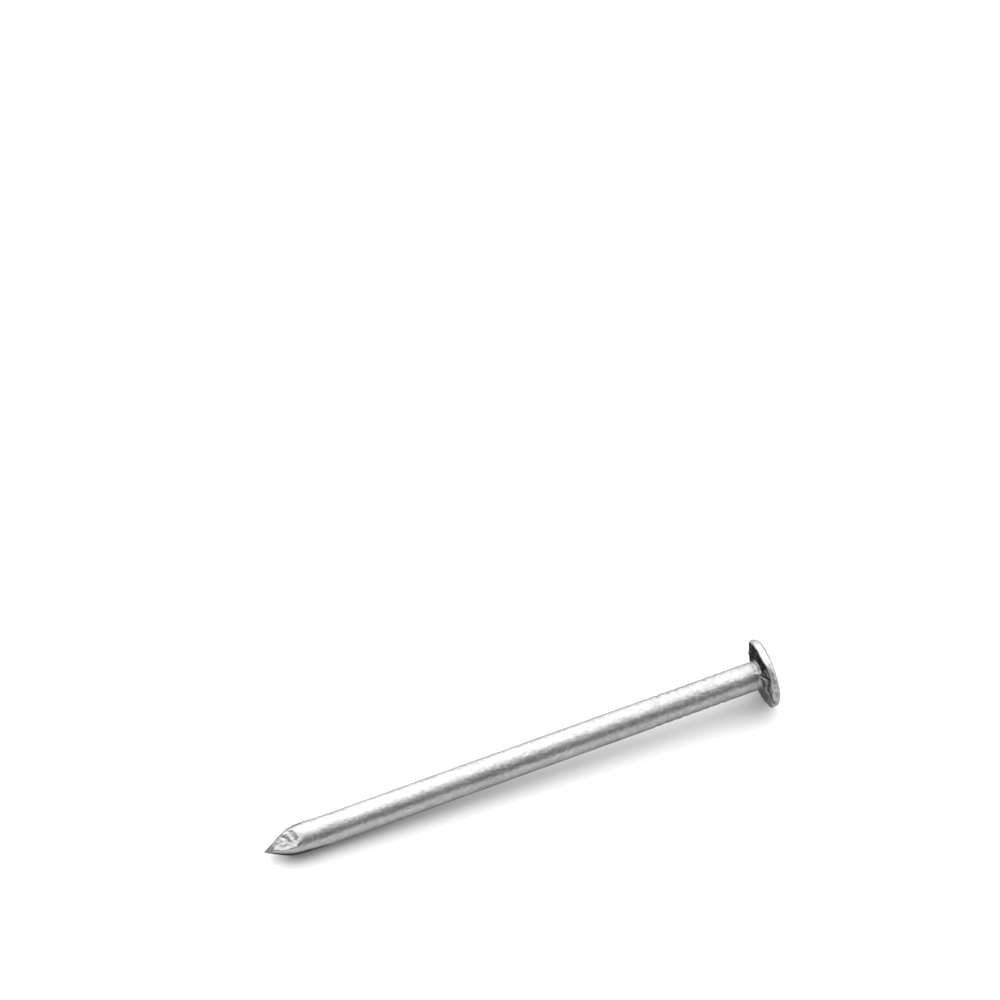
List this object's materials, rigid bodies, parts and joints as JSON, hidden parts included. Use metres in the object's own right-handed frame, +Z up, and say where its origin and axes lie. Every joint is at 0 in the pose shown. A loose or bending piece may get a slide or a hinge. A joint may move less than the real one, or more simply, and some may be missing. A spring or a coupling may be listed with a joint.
{
  "type": "nail",
  "caption": "Plain steel wire nail: a flat round head on a straight round shank, with cross marks under the head and a four-sided diamond point.",
  "frame": {"origin": "centre of the striking face, the flat outer face of the head", "axes": "+X out of the head along the shank's axis, so the point is at the far negative X end; the nail lies along X with +Z up; the gripping dies pressed from 30 degrees above +Y and from the opposite direction"},
  "size_m": [0.0518, 0.0068, 0.0068],
  "materials": {
    "steel": "bright drawn wire, uncoated: satin, with fine grain and draw lines along the shank, matt on the head"
  },
  "bodies": {
    "root": {"nail": "steel"}
  },
  "joints": []
}
